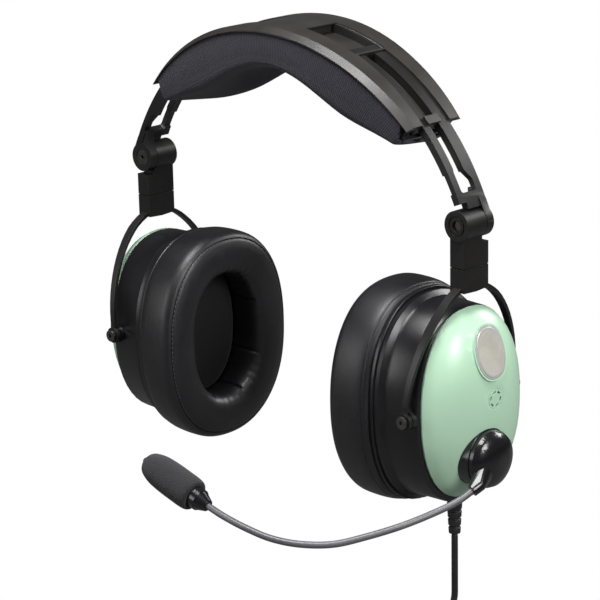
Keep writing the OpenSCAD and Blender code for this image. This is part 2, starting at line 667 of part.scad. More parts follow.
module boom_base() {
  color(black) translate([0, knob_y, knob_z]) rotate([0, 90, 0]) {
    translate([0, 0, foot_x + 3]) cylinder(r = knob_r - 2, h = knob_x - foot_x - 3.5, $fn = 96);
    translate([0, 0, foot_x + 6]) cylinder(r = knob_r, h = knob_x - foot_x - 6, $fn = 96);
  }
}

module boom_knob() {
  start = boom_points[0];
  dir = unit(boom_points[1] - boom_points[0]);
  color(black) {
    translate([knob_x + face_gap, knob_y, knob_z]) rotate([0, 90, 0])
      rotate_extrude($fn = 96) polygon([[0, 0], [knob_r - 0.4, 0], [knob_r - 0.4, 1.8], [knob_r - 1.4, 4],
        [knob_r - 4, 5.8], [knob_r - 8, 7], [0, 7.6]]);
    difference() {
      hull() {
        translate([knob_x + face_gap + 3, knob_y - 5, knob_z - 3]) rotate([0, 90, 0])
          cylinder(r = 5, h = 3.6, center = true, $fn = 32);
        along(start - 3 * dir, dir) cylinder(r = 2.9, h = 5, $fn = 32);
      }
      along(start - 1.6 * dir, dir) cylinder(r = boom_r, h = 8, $fn = 48);
    }
  }
}

module boom_gooseneck() {
  first = boom_points[0] - 1.5 * unit(boom_points[1] - boom_points[0]);
  path = smooth(concat([first], [for (i = [1:len(boom_points) - 1]) boom_points[i]]), 3);
  color([0.25, 0.25, 0.26]) sweep(concat(path, [mic_at + 2 * unit(mic_dir)]), boom_r, 10, [1, 0, 0]);
}

module mic_housing() {
  color(black) along(mic_at, mic_dir) difference() {
    union() {
      cylinder(r1 = 2.8, r2 = 4.8, h = 5, $fn = 48);
      translate([0, 0, 5]) cylinder(r = 5.2, h = 6, $fn = 48);
      translate([0, 0, 11]) cylinder(r = 4.4, h = 12, $fn = 48);
    }
    translate([0, 0, -1]) cylinder(r = boom_r, h = 3, $fn = 48);
    translate([0, 0, 14]) cylinder(r = 3.4, h = 12, $fn = 48);
  }
}

module mic_capsule() {
  color("silver") along(mic_at + 15 * unit(mic_dir), mic_dir) cylinder(r = 3.4, h = 5, $fn = 48);
}

module windscreen() {
  color([0.16, 0.16, 0.17]) along(mic_at + 9 * unit(mic_dir), mic_dir) rotate_extrude($fn = 72)
    polygon([[5.2 + 0.05, 0], [foam_r - 1.4, 0], [foam_r - 0.4, 1.2], [foam_r, 4], [foam_r, foam_l * 0.5],
      [foam_r - 0.5, foam_l * 0.72], [foam_r - 1.9, foam_l * 0.88], [foam_r - 4.4, foam_l * 0.97], [0, foam_l],
      [0, 14.5], [4.4 + 0.05, 14.5], [4.4 + 0.05, 2.05], [5.2 + 0.05, 2.05]]);
}

// --- lead ---

module strain_relief() {
  ribs = 4;
  top_r = relief_r;
  low_r = 2.8;
  rib = relief_h / (ribs + 1.5);
  color([0.09, 0.09, 0.1]) translate([relief_x, relief_y, relief_z]) rotate_extrude($fn = 64)
    polygon(concat([[cable_d / 2, 0], [low_r, 0]],
      [for (i = [0:ribs - 1], k = [0:3])
        let (z = rib * (i + [0.7, 0.75, 0.95, 1][k]), r = low_r + (top_r - low_r) * z / relief_h)
          [k == 1 || k == 2 ? r - 0.7 : r, z]],
      [[top_r, relief_h - 2], [top_r, relief_h + 1.5], [cable_d / 2, relief_h + 1.5]]));
}

// The lead hangs from the strain relief. Its last stretch is wound into a round coil of piled loops
// in a plane that faces the side, and the plug hangs below the coil.
coil_z = -279;
lead_r = 13;
lead_x = relief_x;
layers = 4;
coil_drop = sqrt(coil_r * coil_r + 2 * coil_r * lead_r);
lead_turn = atan(lead_r / coil_drop);
wound_angle = 360 * coil_turns + 180 - 2 * lead_turn;
layer_angle = wound_angle / layers;
end_straight = cable_d;
coil_top_z = coil_z + coil_drop + end_straight;
// Places in the coil are [across the layers, forward to rear, up], from the coil's centre.
function ease(t) = let (u = max(0, min(1, t))) u * u * (3 - 2 * u);
function coil_radius(a) =
  let (k = floor(a / layer_angle), part = a / layer_angle - k, reach = coil_pitch * layer_angle / 360)
    coil_r - reach * (k % 2 == 0 ? part : 1 - part);
function coil_across(a) = coil_pitch
  * (ease((a - layer_angle) / 180 + 0.5) + ease((a - 2 * layer_angle) / 180 + 0.5)
    + ease((a - 3 * layer_angle) / 180 + 0.5));
function coil_place(a) = let (g = 90 + lead_turn + a, r = coil_radius(a))
  [coil_across(a), r * cos(g), r * sin(g)];
lead_bend = [for (i = [0:3]) let (g = (90 - lead_turn) * i / 4)
  [0, -lead_r * (1 - cos(g)), coil_drop - lead_r * sin(g)]];
wound_steps = round(wound_angle / 15);
wound = [for (i = [0:wound_steps]) coil_place(wound_angle * i / wound_steps)];
last_across = (layers - 1) * coil_pitch;
tail_bend = [for (i = [3:-1:0]) [last_across, lead_bend[i][1], -lead_bend[i][2]]];
coil_line = concat([[0, 0, coil_drop + end_straight]], lead_bend, wound, tail_bend,
  [[last_across, 0, -coil_drop - end_straight]]);
coil_gap = min([for (i = [0:len(coil_line) - 1], j = [i + 8:1:len(coil_line) - 1])
  norm(coil_line[i] - coil_line[j])]) - cable_d;
function line_length(p, i = 0) = i >= len(p) - 1 ? 0 : norm(p[i + 1] - p[i]) + line_length(p, i + 1);
echo(coil_gap_mm = coil_gap, lead_length_mm = line_length(coil_line) + relief_z - coil_top_z);
module at_coil() { translate([lead_x, relief_y, coil_z]) children(); }

module cable() {
  top = [lead_x, relief_y, relief_z - cable_d / 2 - 0.15];
  run = coil_top_z - top[2];
  color([0.08, 0.08, 0.09]) {
    sweep([for (i = [0:4]) top + [0, 0, run * i / 4]], cable_d / 2, 8, [1, 0, 0]);
    // the round end on which the lead turns under the strain relief
    translate(top) sphere(r = cable_d / 2 + 0.05, $fn = 16);
  }
}

module cable_coil() {
  color([0.08, 0.08, 0.09]) at_coil() sweep(coil_line, cable_d / 2, 6, [1, 0, 0]);
}

module cable_tie() {
  strap_t = 1.2;
  strap_w = 12;
  gap = 0.3;
  inner = coil_r - coil_pitch * layer_angle / 360 - cable_d / 2 - 2;
  outer = coil_r + cable_d / 2 + gap;
  across0 = -cable_d / 2 - gap;
  across1 = last_across + cable_d / 2 + gap;
  color([0.15, 0.15, 0.16]) at_coil() difference() {
    translate([across0 - strap_t, inner - strap_t, -strap_w / 2])
      cube([across1 - across0 + 2 * strap_t, outer - inner + 2 * strap_t, strap_w]);
    translate([across0, inner, -strap_w])
      cube([across1 - across0, outer - inner, 2 * strap_w]);
  }
}

handle_l = 31;
module at_plug() {
  at_coil() translate([last_across, 0, -coil_drop - end_straight]) children();
}
module plug_handle() {
  color(black) at_plug() rotate([180, 0, 0]) rotate_extrude($fn = 64)
    polygon([[0, 0], [2.6, 0], [3.2, 8], [5.4, 10], [6, 14], [6, handle_l - 3], [5, handle_l],
      [0, handle_l]]);
}

module plug_shank() {
  color("gold") at_plug() translate([0, 0, -handle_l]) rotate([180, 0, 0]) rotate_extrude($fn = 64)
    polygon([[0, 0], [plug_r, 0], [plug_r, plug_l - 6], [plug_r - 1, plug_l - 4.6], [plug_r - 0.3, plug_l - 3.2],
      [plug_r - 1.2, plug_l - 0.8], [0, plug_l]]);
}

headband_shell();
headband_spring();
headband_liner();
head_pad();
liner_screws();
fork();  // left_fork
hinge_pin();  // left_hinge_pin
hinge_block();  // left_hinge_block
swivel_stud();  // left_swivel_stud
yoke();  // left_yoke
pivot_screws();  // left_pivot_screws
cup_shell(true);  // left_cup_shell
dome_cover(true);  // left_dome_cover
baffle();  // left_baffle
ear_seal();  // left_ear_seal
ear_liner();  // left_ear_liner
speaker();  // left_speaker
badge();  // left_badge
vent_ring();  // left_vent_ring
turned() fork();  // right_fork
turned() hinge_pin();  // right_hinge_pin
turned() hinge_block();  // right_hinge_block
turned() swivel_stud();  // right_swivel_stud
turned() yoke();  // right_yoke
turned() pivot_screws();  // right_pivot_screws
mirrored() cup_shell();  // right_cup_shell
mirrored() dome_cover();  // right_dome_cover
mirrored() baffle();  // right_baffle
mirrored() ear_seal();  // right_ear_seal
mirrored() ear_liner();  // right_ear_liner
mirrored() speaker();  // right_speaker
mirrored() badge();  // right_badge
mirrored() vent_ring();  // right_vent_ring
circuit_board();
boom_base();
boom_knob();
boom_gooseneck();
mic_housing();
mic_capsule();
windscreen();
strain_relief();
cable();
cable_coil();
cable_tie();
plug_handle();
plug_shank();
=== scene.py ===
"""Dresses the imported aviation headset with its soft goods, lead, finishes, stage and camera.

Shapes are worked out in millimetres and stored in metres, in the CAD's own frame.
"""
import json
import math

import bmesh
import bpy
import numpy as np
from bpy.props import FloatProperty, FloatVectorProperty, PointerProperty
from mathutils import Matrix, Vector

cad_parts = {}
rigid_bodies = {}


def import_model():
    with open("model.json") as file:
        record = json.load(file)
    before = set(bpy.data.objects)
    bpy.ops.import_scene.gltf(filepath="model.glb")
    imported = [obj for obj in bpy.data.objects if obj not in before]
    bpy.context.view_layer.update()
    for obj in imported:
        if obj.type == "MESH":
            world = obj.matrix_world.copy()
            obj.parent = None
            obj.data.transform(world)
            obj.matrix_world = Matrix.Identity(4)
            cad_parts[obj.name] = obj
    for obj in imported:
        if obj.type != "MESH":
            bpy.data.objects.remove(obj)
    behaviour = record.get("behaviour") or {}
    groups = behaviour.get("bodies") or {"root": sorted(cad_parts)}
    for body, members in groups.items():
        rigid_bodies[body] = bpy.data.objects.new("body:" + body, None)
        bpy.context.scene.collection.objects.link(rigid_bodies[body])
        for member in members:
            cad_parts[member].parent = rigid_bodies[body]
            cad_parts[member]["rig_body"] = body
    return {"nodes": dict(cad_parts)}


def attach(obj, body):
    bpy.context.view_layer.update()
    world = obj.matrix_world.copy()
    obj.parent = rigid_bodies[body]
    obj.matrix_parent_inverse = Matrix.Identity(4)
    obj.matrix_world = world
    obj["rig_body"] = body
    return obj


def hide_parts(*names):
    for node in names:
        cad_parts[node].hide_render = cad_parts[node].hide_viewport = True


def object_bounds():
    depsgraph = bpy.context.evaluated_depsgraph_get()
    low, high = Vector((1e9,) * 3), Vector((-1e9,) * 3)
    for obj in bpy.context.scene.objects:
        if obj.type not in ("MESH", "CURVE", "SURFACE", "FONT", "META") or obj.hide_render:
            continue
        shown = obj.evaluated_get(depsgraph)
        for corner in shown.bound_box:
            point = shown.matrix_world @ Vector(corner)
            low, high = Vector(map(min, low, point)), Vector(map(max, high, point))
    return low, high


bl_info = {
    "name": "Aviation Headset Dresser",
    "version": (1, 0, 0),
    "blender": (4, 5, 0),
    "location": "3D View > Sidebar > Headset",
    "description": "Builds the soft goods, lead and finishes of an aviation headset round its CAD frame",
    "category": "Object",
}

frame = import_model()
NODES = frame["nodes"]
CAD_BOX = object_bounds()
MM = 0.001

# ---- the headband's measures, in millimetres and degrees ----
ARC_R, CROWN_H = 120.0, 20.5
ARC_Z = CROWN_H - ARC_R
SHELL_HALF_ANGLE = 46.2
SHELL_HALF_W, SHELL_END_HALF_W = 24.0, 17.7
FLANGE_T = 2.8
RAIL_DROP, RAIL_T, SLIDE_GAP, FLOOR_T = 0.9, 3.6, 0.3, 2
STRIP_GAP, SPRING_T, LINER_T, PAD_GAP = 0.1, 0.8, 2.4, 0.15
LINER_UNDER = ARC_R - RAIL_DROP - RAIL_T - SLIDE_GAP - FLOOR_T - STRIP_GAP - SPRING_T - STRIP_GAP - LINER_T
PAD_TOP, PAD_END = LINER_UNDER - PAD_GAP, SHELL_HALF_ANGLE + 0.8

# ---- the suspension's and the cups' measures, in millimetres ----
HINGE_X, HINGE_ANGLE = 106.0, math.radians(69.6)
HINGE_Z = ARC_Z + HINGE_X / math.tan(HINGE_ANGLE)
PIVOT_DROP = 86.5
PIVOT_Z = HINGE_Z - PIVOT_DROP
SEAL_X, SEAL_T = 53.0, 25.0
MOUTH_HY, MOUTH_HZ = 21, 31.5
SEAL_GROW_Y, SEAL_GROW_Z = 21, 22
BAFFLE_T, CUP_DEPTH = 2.6, 23.8
BAFFLE_X = SEAL_X + SEAL_T
FOOT_X = BAFFLE_X + BAFFLE_T + CUP_DEPTH
RELIEF_TOP_DROP, RELIEF_H = 44, 22.5
RELIEF = np.array([FOOT_X - 8.9, 1.5, PIVOT_Z - RELIEF_TOP_DROP - RELIEF_H])
BADGE_Z, BADGE_HALF = PIVOT_Z + 28.0, (9.6, 12.0)
VENT_Z = PIVOT_Z + 6.4
SIDES = (("left", 1), ("right", -1))

# ---- the lead's measures, in millimetres ----
COIL_Z, COIL_R, COIL_PITCH = -279.0, 25.0, 3.8
COIL_TURNS, COIL_LAYERS = 12, 4
LEAD_BEND_R, END_STRAIGHT = 13.0, 3.2


# ---------------------------------------------------------------- meshes

def new_piece(name, points, faces, body, smooth=True, sharp=None):
    """A mesh object from arrays in millimetres, riding on a body."""
    mesh = bpy.data.meshes.new(name)
    mesh.from_pydata(np.asarray(points, float) * MM, [], [list(f) for f in faces])
    mesh.update()
    return settle(name, mesh, body, smooth, sharp)


def settle(name, mesh, body, smooth=True, sharp=None):
    """Turns the faces outward, shades them and lets the piece ride."""
    work = bmesh.new()
    work.from_mesh(mesh)
    bmesh.ops.recalc_face_normals(work, faces=work.faces)
    work.to_mesh(mesh)
    work.free()
    mesh.polygons.foreach_set("use_smooth", np.full(len(mesh.polygons), smooth))
    if sharp is not None:
        mesh.set_sharp_from_angle(angle=math.radians(sharp))
    obj = bpy.data.objects.new(name, mesh)
    bpy.context.scene.collection.objects.link(obj)
    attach(obj, body)
    return obj


def grid_faces(rows, columns, wrap_rows=False, wrap_columns=True):
    """Quads of a grid of rows by columns points, joined round where a direction wraps."""
    i = np.arange(rows if wrap_rows else rows - 1)[:, None]
    j = np.arange(columns if wrap_columns else columns - 1)[None, :]
    down, across = (i + 1) % rows, (j + 1) % columns
    quads = np.stack([i * columns + j, down * columns + j,
                      down * columns + across, i * columns + across], -1)
    return quads.reshape(-1, 4).tolist()


def grid_uv(mesh, u, v, name="weave"):
    """Stores a grid's two parameters, in millimetres, as an attribute that materials read."""
    attribute = mesh.attributes.new(name, "FLOAT_VECTOR", "POINT")
    flat = np.zeros((len(mesh.vertices), 3))
    flat[:, 0] = np.resize(u.ravel(), len(flat))
    flat[:, 1] = np.resize(v.ravel(), len(flat))
    attribute.data.foreach_set("vector", flat.ravel())


def spline(points, steps):
    """Catmull-Rom: each span is a cubic whose slope at a point is half the chord between its neighbours."""
    p = np.asarray(points, float)
    ends = np.vstack([p[0], p, p[-1]])
    t = np.arange(steps)[:, None] / steps
    parts = []
    for a, b, c, d in zip(ends, ends[1:], ends[2:], ends[3:]):
        square, cube = 2 * a - 5 * b + 4 * c - d, 3 * b - a - 3 * c + d
        parts.append(0.5 * (2 * b + (c - a) * t + square * t**2 + cube * t**3))
    return np.vstack(parts + [p[-1]])


def tube(path, radius, sides=16):
    """Rings square to a path, each carried from the last without twist, with flat ends."""
    p = np.asarray(path, float)
    ahead = np.gradient(p, axis=0)
    ahead /= np.linalg.norm(ahead, axis=1)[:, None]
    up = np.array([1.0, 0, 0])
    ups = []
    for t in ahead:
        up = up - (up @ t) * t
        up /= np.linalg.norm(up)
        ups.append(up)
    ups = np.array(ups)
    other = np.cross(ahead, ups)
    g = np.linspace(0, 2 * np.pi, sides, endpoint=False)[None, :, None]
    r = np.broadcast_to(np.asarray(radius, float), (len(p),))[:, None, None]
    points = p[:, None] + r * (np.cos(g) * ups[:, None] + np.sin(g) * other[:, None])
    faces = grid_faces(len(p), sides)
    faces += [list(range(sides)), list(range((len(p) - 1) * sides, len(p) * sides))]
    return points.reshape(-1, 3), faces


def lathe(profile, at, towards, sides=72):
    """A profile of [radius, height] turned about an axis through a point."""
    q = np.asarray(profile, float)
    axis = np.asarray(towards, float)
    axis /= np.linalg.norm(axis)
    side = np.cross(axis, [0, 0, 1.0] if abs(axis[2]) < 0.9 else [1.0, 0, 0])
    side /= np.linalg.norm(side)
    other = np.cross(axis, side)
    g = np.linspace(0, 2 * np.pi, sides, endpoint=False)[None, :, None]
    return (np.asarray(at, float) + q[:, None, 1:2] * axis
            + q[:, None, 0:1] * (np.cos(g) * side + np.sin(g) * other))


def oval(hy, hz, g, p=2.25):
    """A rounded oval: half sizes times cosine and sine, each raised to the power 2/p."""
    c, s = np.cos(g), np.sin(g)
    return hy * np.sign(c) * np.abs(c) ** (2 / p), hz * np.sign(s) * np.abs(s) ** (2 / p)


WELD, FLAT_DEGREES = 2e-6, 0.8


def dressed(node, bevel=0.25, angle=32, segments=2):
    """A merged copy of a rigid node, smooth over its curves, with a fine round on its edges."""
    mesh = NODES[node].data.copy()
    mesh.name = node + "_dressed"
    mesh.materials.clear()
    work = bmesh.new()
    work.from_mesh(mesh)
    bmesh.ops.remove_doubles(work, verts=work.verts, dist=WELD)
    bmesh.ops.dissolve_limit(work, angle_limit=math.radians(FLAT_DEGREES),
                             verts=work.verts, edges=work.edges)
    work.to_mesh(mesh)
    work.free()
    obj = settle(node + "_piece", mesh, NODES[node]["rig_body"], True, angle)
    if bevel:
        mod = obj.modifiers.new("edge round", "BEVEL")
        mod.width = bevel * MM
        mod.segments = segments
        mod.limit_method = "ANGLE"
        mod.angle_limit = math.radians(angle)
        mod.harden_normals = True
        mod.use_clamp_overlap = True
    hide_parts(node)
    return obj


# ---------------------------------------------------------------- materials

class Sock:
    """A shader value. Arithmetic on it adds Math nodes."""

    def __init__(self, finish, out):
        self.finish, self.out = finish, out

    def calc(self, kind, *values):
        return self.finish.node("ShaderNodeMath", {"operation": kind}, dict(enumerate(values)))

    def __add__(self, other):
        return self.calc("ADD", self, other)

    def __sub__(self, other):
        return self.calc("SUBTRACT", self, other)

    def __rsub__(self, other):
        return self.calc("SUBTRACT", other, self)

    def __mul__(self, other):
        return self.calc("MULTIPLY", self, other)

    def __truediv__(self, other):
        return self.calc("DIVIDE", self, other)

    __radd__, __rmul__ = __add__, __mul__

    def sine(self):
        return self.calc("SINE", self)

    def size(self):
        return self.calc("ABSOLUTE", self)

    def power(self, n):
        return self.calc("POWER", self, n)

    def ramp(self, low, high):
        """0 at low, 1 at high, smooth between."""
        return self.finish.node("ShaderNodeMapRange", {"interpolation_type": "SMOOTHSTEP"},
                                {"Value": self, "From Min": low, "From Max": high})


class Finish:
    """A material with one Principled shader. Colours are linear."""

    def __init__(self, name, colour, rough=0.5, metal=0.0, **fixed):
        self.material = bpy.data.materials.new(name)
        self.material.use_nodes = True
        self.tree = self.material.node_tree
        self.shader = self.tree.nodes["Principled BSDF"]
        self.colour = tuple(colour)
        self.put("Base Color", (*colour, 1))
        self.put("Roughness", rough)
        self.put("Metallic", metal)
        for key, value in fixed.items():
            self.put(key.replace("_", " "), value)
        self.place = self.node("ShaderNodeTexCoord", out="Object")

    def put(self, socket, value):
        target = self.shader.inputs[socket]
        if isinstance(value, Sock):
            self.tree.links.new(value.out, target)
        else:
            target.default_value = value
        return self

    def node(self, kind, settings=None, values=None, out=0):
        made = self.tree.nodes.new(kind)
        for key, value in (settings or {}).items():
            setattr(made, key, value)
        for key, value in (values or {}).items():
            if isinstance(value, Sock):
                self.tree.links.new(value.out, made.inputs[key])
            else:
                made.inputs[key].default_value = value
        return Sock(self, made.outputs[out])

    def noise(self, per_metre, detail=3.0, rough=0.5, place=None):
        return self.node("ShaderNodeTexNoise", None, {"Vector": place or self.place, "Scale": per_metre,
                                                      "Detail": detail, "Roughness": rough})

    def cells(self, per_metre, feature="F1", place=None):
        return self.node("ShaderNodeTexVoronoi", {"feature": feature},
                         {"Vector": place or self.place, "Scale": per_metre}, "Distance")

    def attribute(self, name):
        return self.node("ShaderNodeAttribute", {"attribute_name": name}, None, "Vector")

    def parts(self, vector):
        made = self.tree.nodes.new("ShaderNodeSeparateXYZ")
        self.tree.links.new(vector.out, made.inputs[0])
        return [Sock(self, o) for o in made.outputs]

    def mix(self, mask, low, high):
        """Colour low where the mask is 0 and high where it is 1."""
        made = self.tree.nodes.new("ShaderNodeMix")
        made.data_type = "RGBA"
        for index, value in ((0, mask), (6, low), (7, high)):
            if isinstance(value, Sock):
                self.tree.links.new(value.out, made.inputs[index])
            else:
                made.inputs[index].default_value = (*value, 1) if index else value
        return Sock(self, made.outputs[2])

    def shades(self, mask, low, high):
        """The finish's own colour, from low to high times its value."""
        return self.mix(mask, [c * low for c in self.colour], [min(1, c * high) for c in self.colour])

    def bump(self, height, depth_mm, strength=1.0):
        self.put("Normal", self.node("ShaderNodeBump", None, {"Height": height, "Distance": depth_mm * MM,
                                                              "Strength": strength}))
        return self


def moulded(name, colour, rough, spread=0.12, grain=2600, depth=0.012, **fixed):
    """Moulded plastic: a faint mottling, a fine mould texture and patches that are handled smooth."""
    f = Finish(name, colour, rough, **fixed)
    broad, fine = f.noise(60, 2), f.noise(grain, 2)
    f.put("Base Color", f.shades(broad.ramp(0.3, 0.7), 1 - spread, 1 + spread))
    f.put("Roughness", rough + (broad - 0.5) * 0.16 + (fine - 0.5) * 0.12)
    f.bump(fine, depth)
    return f.material


def painted(name, colour, rough, worn, metal=0.0):
    """Painted metal: a fine orange peel and small rubbed flecks."""
    f = Finish(name, colour, rough, metal)
    fine, patch, speck = f.noise(1500, 2), f.noise(45, 3), f.noise(420, 3, 0.6)
    flecks = speck.ramp(0.68, 0.76) * patch.ramp(0.5, 0.7)
    base = f.shades(patch.ramp(0.3, 0.7), 0.86, 1.2)
    f.put("Base Color", f.mix(flecks * 0.6, base, worn))
    f.put("Roughness", rough + (patch - 0.5) * 0.2 + flecks * 0.1)
    f.bump(fine, 0.02)
    return f.material


def turned_metal(name, colour, rough):
    """Turned metal: fine rings of polish."""
    f = Finish(name, colour, rough, 1.0)
    fine = f.noise(2200, 3)
    f.put("Base Color", f.shades(fine, 0.85, 1.1))
    f.put("Roughness", rough + (fine - 0.5) * 0.25)
    return f.material


def leatherette(name, colour, rough):
    """Soft coated cloth: rounded grain cells with pores, and thread along the seam.

    The weave attribute holds the way along the seam and the distance from it, in millimetres.
    """
    stitch, thread_half = 2.3, (0.12, 0.26)
    f = Finish(name, colour, rough, 0.0, Coat_Weight=0.15, Coat_Roughness=0.3)
    broad, wrinkle = f.noise(35, 3), f.noise(260, 4, 0.6)
    grain = f.cells(1500, "DISTANCE_TO_EDGE")
    along, off, _ = f.parts(f.attribute("weave"))
    dash = (along * (2 * math.pi / stitch)).sine().ramp(-0.2, 0.35)
    thread = dash * (1 - off.size().ramp(*thread_half))
    f.put("Base Color", f.mix(thread, f.shades(broad.ramp(0.3, 0.7), 0.8, 1.3), (0.09, 0.09, 0.1)))
    f.put("Roughness", rough + (broad - 0.5) * 0.15 + (wrinkle - 0.5) * 0.2)
    f.bump(grain.ramp(0.0, 0.25) * 0.3 + wrinkle * 0.5 + thread, 0.1)
    return f.material


def knit(name, colour, pitch=1.15, depth=0.22):
    """Ribbed knit: columns of stitches along the weave attribute's first direction, with painted shade in the
    grooves between ribs and stitches and painted light on the raised yarn.
    """
    f = Finish(name, colour, 0.92, 0.0, Sheen_Weight=0.15, Sheen_Roughness=0.5)
    across, along, _ = f.parts(f.attribute("weave"))
    rib = (across * (2 * math.pi / pitch)).sine() * 0.5 + 0.5
    stitch = (along * (2 * math.pi / (0.7 * pitch)) + rib * 2.2).sine() * 0.5 + 0.5
    fuzz, broad = f.noise(5200, 3), f.noise(55, 3)
    yarn = rib.power(0.7) * (stitch * 0.5 + 0.5)
    # painted shade and light: the colour follows the yarn's height, dark in the grooves and light on the
    # raised yarn; the fuzz is the yarn's own tone
    fuzz_and_groove_shade = f.shades(yarn * 0.65 + fuzz * 0.35, 0.45, 1.75)
    f.put("Base Color", f.mix(broad.ramp(0.35, 0.75) * 0.35, fuzz_and_groove_shade, [c * 1.7 for c in colour]))
    f.bump(yarn * 0.8 + fuzz * 0.2, depth)
    return f.material


def open_foam(name, colour):
    """Open-cell foam: small pits between thin walls, the pits darker as painted shade."""
    f = Finish(name, colour, 0.95, 0.0, Sheen_Weight=0.1, Sheen_Roughness=0.6)
    pits, fine = f.cells(1700), f.noise(3800, 3)
    # painted shade: the colour follows the cells' depth, dark in the pits and lighter on the walls
    f.put("Base Color", f.shades(pits.ramp(0.05, 0.55), 0.5, 1.6))
    f.bump(pits * 0.7 + fine * 0.3, 0.3)
    return f.material


def rubber(name, colour, rough=0.55):
    """Soft rubber: a dull skin with a faint bloom."""
    f = Finish(name, colour, rough, Coat_Weight=0.05)
    bloom, fine = f.noise(90, 3), f.noise(2400, 2)
    f.put("Base Color", f.shades(bloom.ramp(0.3, 0.75), 0.85, 1.35))
    f.put("Roughness", rough + (bloom - 0.5) * 0.2)
    f.bump(fine, 0.015)
    return f.material


def mint_gloss(name, colour, painted_vent_shade=False):
    """Glossy moulded plastic with faint flow shading and a very fine orange peel; if asked, a near-black disc
    of painted shade behind the vent's slots.
    """
    f = Finish(name, colour, 0.34, 0.0, Coat_Weight=0.12, Coat_Roughness=0.2, Subsurface_Weight=0.06,
               Subsurface_Radius=(0.004, 0.006, 0.004), Subsurface_Scale=0.5)
    flow, peel = f.noise(14, 2), f.noise(380, 2)
    base = f.shades(flow.ramp(0.25, 0.75), 0.95, 1.05)
    if painted_vent_shade:
        # painted shade: the floor behind the vent's slots is painted near black, where shade falls
        _, y, z = f.parts(f.place)
        z = z - VENT_Z * MM
        from_middle = (y * y + z * z).power(0.5)
        base = f.mix(from_middle.ramp(0.0043, 0.00445), (0.01, 0.013, 0.01), base)
    f.put("Base Color", base)
    f.put("Roughness", 0.33 + (flow - 0.5) * 0.08)
    f.bump(peel, 0.006)
    return f.material


def pearl(name, colour, rim_colour):
    """Pearl film: soft cloudy patches under a clear coat, with fine sparkle, inside a polished metal rim."""
    f = Finish(name, colour, 0.34, 0.35, Coat_Weight=0.8, Coat_Roughness=0.08)
    cloud, spark = f.noise(120, 4, 0.65), f.noise(6000, 1)
    _, y, z = f.parts(f.place)
    y, z = y / (BADGE_HALF[0] * MM), (z - BADGE_Z * MM) / (BADGE_HALF[1] * MM)
    rim = (y * y + z * z).power(0.5).ramp(0.84, 0.87)
    film = f.shades(cloud.ramp(0.3, 0.7) * 0.8 + spark * 0.2, 0.88, 1.08)
    f.put("Base Color", f.mix(rim, film, rim_colour))
    f.put("Metallic", 0.35 - rim * 0.15)
    f.put("Roughness", 0.3 + (spark - 0.5) * 0.2 - rim * 0.1)
    return f.material


def woven(name, colour):
    """Woven strap: two crossing sets of threads, with painted shade in the dips between them and painted
    light on the crossings.
    """
    f = Finish(name, colour, 0.85, 0.0, Sheen_Weight=0.2)
    x, y, z = f.parts(f.place)
    warp = ((x + y) * (2 * math.pi / 0.0009)).sine() * 0.5 + 0.5
    weft = (z * (2 * math.pi / 0.0011)).sine() * 0.5 + 0.5
    weave = warp * weft
    # painted shade and light: the colour follows the threads' height, dark in the dips between threads and
    # light where they cross
    f.put("Base Color", f.shades(weave, 0.6, 1.6))
    f.bump(weave, 0.12)
    return f.material


def paint(obj, material):
    """Gives an object one material."""
    obj.data.materials.clear()
    obj.data.materials.append(material)
    return obj


def paint_node(node, material):
    """Gives a carried-over CAD node one material."""
    slots = NODES[node].material_slots
    if not slots:
        NODES[node].data.materials.append(material)
    for s in slots:
        s.link = "OBJECT"
        s.material = material


# ---------------------------------------------------------------- settings

def shade(name, value, description):
    return FloatVectorProperty(name=name, description=description, subtype="COLOR", size=3, default=value,
                               min=0, max=1)


class HeadbandLooks(bpy.types.PropertyGroup):
    plate: shade("Plate", (0.021, 0.0185, 0.0165), "Colour of the headband's moulded plate")
    liner: shade("Liner", (0.012, 0.012, 0.013), "Colour of the liner between the plate and the pad")
    knit: shade("Pad knit", (0.013, 0.013, 0.022), "Colour of the head pad's ribbed knit")
    rail: shade("Rails", (0.016, 0.0147, 0.0143), "Colour of the forks, hinge blocks and yokes")


class CupLooks(bpy.types.PropertyGroup):
    dome: shade("Dome", (0.435, 0.655, 0.475), "Colour of the dome covers")
    seal: shade("Seal", (0.0055, 0.0052, 0.0068), "Colour of the ear seals")
    housing: shade("Housing", (0.0055, 0.0055, 0.0068), "Colour of the cup shells and baffles")
    badge: shade("Badge", (0.64, 0.62, 0.55), "Colour of the bare oval insert")
    groove: FloatProperty(name="Seam groove", description="Depth of the seam round an ear seal's face",
                          default=0.0006, min=0, max=0.002, unit="LENGTH")


class BoomLooks(bpy.types.PropertyGroup):
    tube: shade("Boom", (0.11, 0.11, 0.118), "Colour of the flexible boom")
    foam: shade("Windscreen", (0.0105, 0.0105, 0.0125), "Colour of the foam windscreen")
    lead: shade("Lead", (0.010, 0.010, 0.011), "Colour of the lead and its strain relief")
    lead_diameter: FloatProperty(name="Lead diameter", description="Thickness of the lead", default=0.0032,
                                 min=0.002, max=0.005, unit="LENGTH")


# ---------------------------------------------------------------- lead

